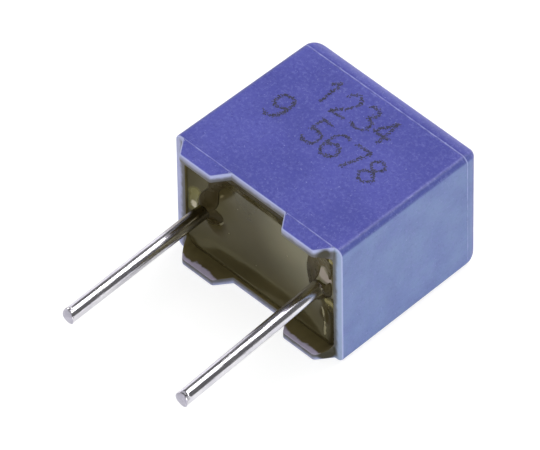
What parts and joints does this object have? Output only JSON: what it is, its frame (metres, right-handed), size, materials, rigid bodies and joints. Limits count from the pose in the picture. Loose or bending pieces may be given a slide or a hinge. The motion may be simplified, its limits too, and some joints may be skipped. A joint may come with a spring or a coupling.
{
  "type": "polypropylene film capacitor",
  "caption": "Box-type polypropylene film capacitor for through-hole boards, with a moulded case, stand-off feet, a resin-filled mouth and tinned wires.",
  "frame": {"origin": "middle of the lower large face of the case, which the part lies on, halfway between the feet's tips and the closed end", "axes": "+X along the lead row, +Y from the wires' free ends to the closed end of the case, +Z through the thickness, up to the marked face"},
  "size_m": [0.0072, 0.0122, 0.005],
  "materials": {
    "case_plastic": "moulded, satin, blue",
    "potting_resin": "cured epoxy, glossy, brown olive",
    "metallised_film": "wound metallised film, silvery",
    "sprayed_metal": "sprayed zinc, rough, matt grey",
    "tinned_wire": "tinned, bright, drawn"
  },
  "bodies": {
    "root": {"case": "case_plastic", "potting_resin": "potting_resin", "film_winding": "metallised_film", "end_contact_left": "sprayed_metal", "end_contact_right": "sprayed_metal", "lead_left": "tinned_wire", "lead_right": "tinned_wire"}
  },
  "joints": []
}
